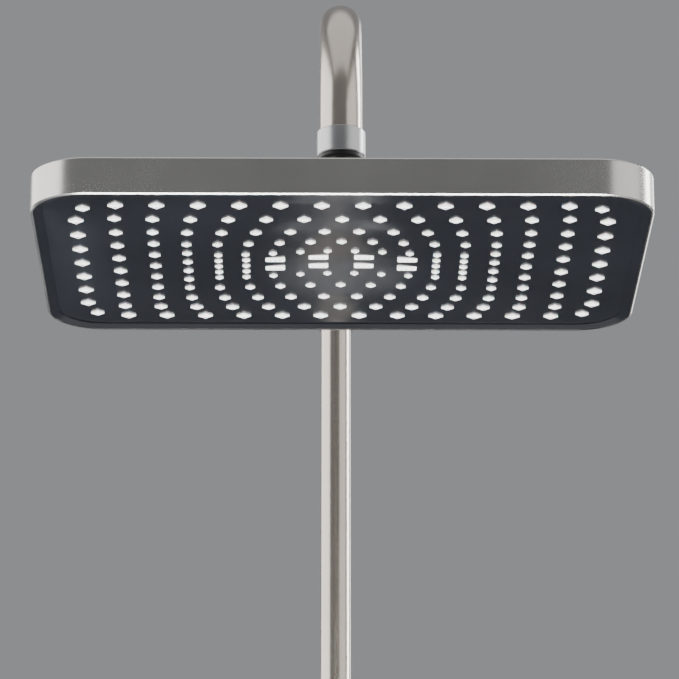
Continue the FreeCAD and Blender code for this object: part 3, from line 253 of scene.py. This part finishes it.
def add_piece(name, vertices, faces, materials, body, replaced, face_materials=None):
    """Makes a smooth-shaded piece that rides on a body in place of a CAD node."""
    mesh = bpy.data.meshes.new(name)
    mesh.from_pydata([tuple(v) for v in vertices], [], faces)
    for material in materials:
        mesh.materials.append(material)
    if face_materials:
        mesh.polygons.foreach_set("material_index", face_materials)
    mesh.polygons.foreach_set("use_smooth", [True] * len(mesh.polygons))
    mesh.update()
    mesh.set_sharp_from_angle(angle=SHARP_ANGLE)
    piece = bpy.data.objects.new(name, mesh)
    bpy.context.scene.collection.objects.link(piece)
    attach(piece, body)
    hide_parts(replaced)


def bridge(first, second, count):
    """Quads between two rings of vertices, given by their first indices."""
    return [(first + i, first + (i + 1) % count, second + (i + 1) % count, second + i)
            for i in range(count)]


# ------------------------------------------------------------------ the spray face's pattern
# Sizes in millimetres and shares of the head's half width and half depth, as in the CAD model
PLATE_RECESS = 1.9          # flat border above the casing's lower edge
FACE_DOME = 2.5
FACE_DIMPLE = 3.3
FACE_MARGIN_X = 1
FACE_SHOULDER = 15.0        # front and back margin where the face is no longer domed
DIMPLE_X = 29.0
DIMPLE_Y = 34.0

OUTER_COUNT = 12            # nozzles in the front and back rows
OUTER_STEP = 0.1319
OUTER_Y = 0.8051
SIDE_COUNT = 7              # nozzles in the left and right columns
SIDE_STEP = 0.2010
SIDE_X = 0.8575
CORNER_X = 0.831
CORNER_Y = 0.7643
OUTER_SIZE = 7.3
CORNER_SIZE = 6.6
# Nozzles along x and along y, half width, half depth, and nozzle size of each inner ring
INNER_RINGS = (
    (13, 8, 0.733, 0.6403, 6.3), (12, 7, 0.6135, 0.4765, 5.5),
    (11, 6, 0.5066, 0.3167, 4.7), (10, 5, 0.405, 0.1628, 3.8),
)
INNER_COLUMN_X = 0.314      # second column of the innermost ring
BAR_COLUMNS = (0.0752, 0.2183)
BAR_ROW = 0.0615


def dome_share(t):
    """1 in the middle and 0 at the rim, with a flat top and soft ends."""
    if abs(t) >= 1:
        return 0.0
    return math.cos(math.pi / 2 * abs(t) ** 2.6) ** 2


def face_level(x, y):
    """Height of the spray face above the casing's lower edge, in millimetres."""
    dome = FACE_DOME * dome_share(x / (half_x - FACE_MARGIN_X)) * dome_share(y / (half_y - FACE_SHOULDER))
    dimple = FACE_DIMPLE * math.exp(-(x / DIMPLE_X) ** 2 / 2 - (y / DIMPLE_Y) ** 2 / 2)
    return PLATE_RECESS - dome + dimple


def nozzle_places():
    """Every nozzle as (x, y, size) in millimetres from the head's axis."""
    sides = (-1, 1)
    places = []
    for i in range(OUTER_COUNT):
        x = (i - (OUTER_COUNT - 1) / 2) * OUTER_STEP * half_x
        places += [(x, side * OUTER_Y * half_y, OUTER_SIZE) for side in sides]
    for i in range(SIDE_COUNT):
        y = (i - (SIDE_COUNT - 1) / 2) * SIDE_STEP * half_y
        places += [(side * SIDE_X * half_x, y, OUTER_SIZE) for side in sides]
    places += [(sx * CORNER_X * half_x, sy * CORNER_Y * half_y, CORNER_SIZE)
               for sx in sides for sy in sides]
    for ring in INNER_RINGS:
        count_x, count_y, share_x, share_y, size = ring
        edge_x = share_x * half_x
        edge_y = share_y * half_y
        for i in range(count_x):
            x = edge_x * (2 * i / (count_x - 1) - 1)
            places += [(x, side * edge_y, size) for side in sides]
        columns = (edge_x, INNER_COLUMN_X * half_x) if ring == INNER_RINGS[-1] else (edge_x,)
        for i in range(1, count_y - 1):
            y = edge_y * (2 * i / (count_y - 1) - 1)
            places += [(side * column, y, size) for column in columns for side in sides]
    return places


def bar_places():
    """Every flat jet as (x, y) in millimetres from the head's axis."""
    columns = [side * share * half_x for share in BAR_COLUMNS for side in (-1, 1)]
    return [(x, side * BAR_ROW * half_y) for x in columns for side in (-1, 1)]


# ------------------------------------------------------------------ nozzles
RUBBER, HOLE_SHADE_PAINT = 0, 1         # the mat's two materials: white silicone, and black rubber that paints the shade inside the holes
NOZZLE_SIDES = 32
# Height below the face in mm, share of the diamond, share of the size as a circle
NOZZLE_RINGS = (
    (-3.0, 1.0, 0.0), (0.80, 1.0, 0.0), (0.98, 0.965, 0.0), (1.08, 0.88, 0.0), (1.14, 0.74, 0.0),
    (1.20, 0.46, 0.09), (1.34, 0.10, 0.24), (1.52, 0.0, 0.23), (1.66, 0.0, 0.20), (1.68, 0.0, 0.13),
    (1.60, 0.0, 0.105), (0.6, 0.0, 0.10),
)
ORIFICE_RINGS = 2           # the last rings, which line the hole in black as painted shade
DIAMOND_REACH = 0.525       # axis to corner, as a share of the nozzle's size
DIAMOND_POWER = 0.94        # 1 would give straight sides
CIRCLE_REACH = 1.25


def diamond_radius(angle, reach):
    """A diamond with slightly hollow sides."""
    spread = abs(math.cos(angle)) ** DIAMOND_POWER + abs(math.sin(angle)) ** DIAMOND_POWER
    return reach / spread ** (1 / DIAMOND_POWER)


def add_nozzle(vertices, faces, shades, x, y, size):
    """A diamond nozzle with a round tip and its hole, whose lining and floor are black as painted shade.
    """
    base = face_level(x, y)
    start = len(vertices)
    for depth, diamond, circle in NOZZLE_RINGS:
        for i in range(NOZZLE_SIDES):
            angle = 2 * math.pi * i / NOZZLE_SIDES
            radius = (diamond * diamond_radius(angle, size * DIAMOND_REACH)
                      + circle * size / 2 * CIRCLE_REACH)
            vertices.append((x + radius * math.cos(angle), y + radius * math.sin(angle), base - depth))
    last = len(NOZZLE_RINGS) - 1
    for ring in range(last):
        first = start + ring * NOZZLE_SIDES
        faces += bridge(first + NOZZLE_SIDES, first, NOZZLE_SIDES)
        shades += [HOLE_SHADE_PAINT if ring >= last - ORIFICE_RINGS else RUBBER] * NOZZLE_SIDES
    hole_end = start + last * NOZZLE_SIDES
    faces.append(tuple(hole_end + i for i in reversed(range(NOZZLE_SIDES))))
    shades.append(HOLE_SHADE_PAINT)


# Height below the face in mm, and how far the outline is drawn in
BAR_RINGS = ((-3.0, 0.0), (0.46, 0.0), (0.60, 0.06), (0.68, 0.2))
BAR_SIDES = 64
BAR_LENGTH = 10.0
BAR_WIDTH = 5.0
BAR_POWER = 9.0             # the higher, the tighter the corners
# Each jet's three holes are flat black discs just in front of its face: painted shade
BAR_SHADE_DISC_SIDES = 12
BAR_SHADE_DISC_R = 0.45
BAR_SHADE_DISC_DEPTH = 0.7


def bar_corner(angle, reach_x, reach_y):
    """A rectangle with small round corners, as a superellipse."""
    spread = abs(math.cos(angle)) ** BAR_POWER + abs(math.sin(angle)) ** BAR_POWER
    grow = spread ** (-1 / BAR_POWER)
    return reach_x * grow * math.cos(angle), reach_y * grow * math.sin(angle)


def add_bar(vertices, faces, shades, x, y):
    """A flat jet: a block with rounded edges and three small black discs on its face, painted shade in
    place of holes.
    """
    base = face_level(x, y)
    start = len(vertices)
    for depth, inset in BAR_RINGS:
        for i in range(BAR_SIDES):
            angle = 2 * math.pi * (i + 0.5) / BAR_SIDES
            dx, dy = bar_corner(angle, BAR_LENGTH / 2 - inset, BAR_WIDTH / 2 - inset)
            vertices.append((x + dx, y + dy, base - depth))
    last = len(BAR_RINGS) - 1
    for ring in range(last):
        first = start + ring * BAR_SIDES
        faces += bridge(first + BAR_SIDES, first, BAR_SIDES)
        shades += [RUBBER] * BAR_SIDES
    cap = start + last * BAR_SIDES
    faces.append(tuple(cap + i for i in reversed(range(BAR_SIDES))))
    shades.append(RUBBER)
    # painted shade: flat black discs where the holes would be
    for place in (-BAR_LENGTH / 4, 0, BAR_LENGTH / 4):
        hole = len(vertices)
        for i in range(BAR_SHADE_DISC_SIDES):
            angle = -2 * math.pi * i / BAR_SHADE_DISC_SIDES
            dx = BAR_SHADE_DISC_R * math.cos(angle)
            dy = BAR_SHADE_DISC_R * math.sin(angle)
            vertices.append((x + place + dx, y + dy, base - BAR_SHADE_DISC_DEPTH))
        faces.append(tuple(range(hole, hole + BAR_SHADE_DISC_SIDES)))
        shades.append(HOLE_SHADE_PAINT)


def add_sheet(vertices, faces, shades):
    """The sheet that carries the nozzles, behind the plate."""
    margin = 5.5
    corner = 22.0
    sides = 64
    rings = []
    for level in (5.0, 6.5):
        rings.append(len(vertices))
        for i in range(sides):
            angle = 2 * math.pi * (i + 0.5) / sides
            centre_x = math.copysign(half_x - margin - corner, math.cos(angle))
            centre_y = math.copysign(half_y - margin - corner, math.sin(angle))
            vertices.append((centre_x + corner * math.cos(angle),
                             centre_y + corner * math.sin(angle), level))
    faces += bridge(rings[0], rings[1], sides)
    faces.append(tuple(rings[0] + i for i in reversed(range(sides))))
    faces.append(tuple(rings[1] + i for i in range(sides)))
    shades += [RUBBER] * (sides + 2)


def make_nozzles(materials):
    """The silicone mat: its sheet behind the plate, every diamond nozzle and the flat jets."""
    vertices, faces, shades = [], [], []
    for place in nozzle_places():
        add_nozzle(vertices, faces, shades, *place)
    for place in bar_places():
        add_bar(vertices, faces, shades, *place)
    add_sheet(vertices, faces, shades)
    origin = Vector((head_axis.x, head_axis.y, head_plane))
    placed = [origin + Vector(v) * MM for v in vertices]
    # the second material, black rubber, is painted shade in the nozzles' holes and on the flat jets
    add_piece("silicone_nozzles", placed, faces, [materials["silicone"], materials["seal"]],
              "head", "nozzle_mat", shades)


# ------------------------------------------------------------------ threaded nipples
THREAD_PITCH = 1.81
THREAD_HEIGHT = 0.95
THREAD_LEAD_IN = 1.2        # length over which a thread fades out at each end
THREAD_CHAMFER = 0.5        # how far the radius drops where it has faded out
END_GAP = 0.01              # keeps both ends just inside the CAD box
NIPPLE_SIDES = 96
STEPS_PER_TURN = 10


def section_rings(sections):
    """Rings along the axis as (along, radius, pitch, fade), where fade is 0 at a section's ends."""
    rings = []
    for start, end, radius, pitch in sections:
        steps = max(2, int((end - start) / (pitch / STEPS_PER_TURN))) if pitch else 2
        for i in range(steps + 1):
            along = start + (end - start) * i / steps
            fade = max(0.0, min(1.0, (along - start) / THREAD_LEAD_IN, (end - along) / THREAD_LEAD_IN))
            rings.append((along, radius, pitch, fade))
    rings[0] = (END_GAP, *rings[0][1:])
    rings[-1] = (rings[-1][0] - END_GAP, *rings[-1][1:])
    return rings


def thread_radius(radius, pitch, fade, along, angle):
    """Radius of a round-topped helix that fades out into a chamfer."""
    if not pitch:
        return radius
    wave = 0.5 + 0.5 * math.cos(2 * math.pi * along / pitch - angle)
    return radius - THREAD_HEIGHT * (1 - wave ** 0.7) * fade - THREAD_CHAMFER * (1 - fade)


def threaded_nipple(name, node, bore, sections, materials, slot, place):
    """A turned nipple with a real helical thread, in place of its CAD node.

    sections run along the axis in millimetres from the node's lower end: (start, end, radius, pitch).
    place turns a point of that axis frame into the part's frame.
    """
    rings = section_rings(sections)
    angles = [2 * math.pi * j / NIPPLE_SIDES for j in range(NIPPLE_SIDES)]
    vertices = []
    for along, radius, pitch, fade in rings:
        for angle in angles:
            r = thread_radius(radius, pitch, fade, along, angle)
            vertices.append((r * math.cos(angle), r * math.sin(angle), along))
    for along in (rings[-1][0], rings[0][0]):
        vertices += [(bore * math.cos(angle), bore * math.sin(angle), along) for angle in angles]
    faces = []
    for k in range(len(rings) + 1):
        faces += bridge(k * NIPPLE_SIDES, (k + 1) * NIPPLE_SIDES, NIPPLE_SIDES)
    faces += bridge((len(rings) + 1) * NIPPLE_SIDES, 0, NIPPLE_SIDES)
    add_piece(name, [place(v) for v in vertices], faces, [materials[slot]], "column", node)


def make_inlet_thread(materials):
    """The brass nipple that screws into the wall, along y."""
    low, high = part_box("inlet_nipple")
    foot = Vector(((low.x + high.x) / 2, low.y, (low.z + high.z) / 2))
    length = (high.y - low.y) / MM
    thread_start = length - 19
    threaded_nipple(
        "inlet_thread", "inlet_nipple", 7.5,
        ((0, thread_start, 10.2, 0), (thread_start, length, 10.4, THREAD_PITCH)),
        materials, "raw_brass", lambda v: foot + Vector((v[0], v[2], -v[1])) * MM)


def make_hose_thread(materials):
    """The nipple for the hose, under the diverter: thread, neck, bevelled flange and root."""
    low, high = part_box("hose_nipple")
    foot = Vector(((low.x + high.x) / 2, (low.y + high.y) / 2, low.z))
    length = (high.z - low.z) / MM
    threaded_nipple(
        "hose_thread", "hose_nipple", 6.0,
        ((0, 12, 10.3, THREAD_PITCH), (12, 12.5, 9.4, 0), (12.5, 13.0, 12.6, 0),
         (13.0, 15.5, 13.0, 0), (15.5, 16.0, 12.6, 0), (16.0, length, 9.0, 0)),
        materials, "fitting", lambda v: foot + Vector(v) * MM)


# ------------------------------------------------------------------ making the scene
make_camera()
make_studio()
slot_materials = make_materials()
dress_cad_nodes(slot_materials)
make_nozzles(slot_materials)
make_inlet_thread(slot_materials)
make_hose_thread(slot_materials)
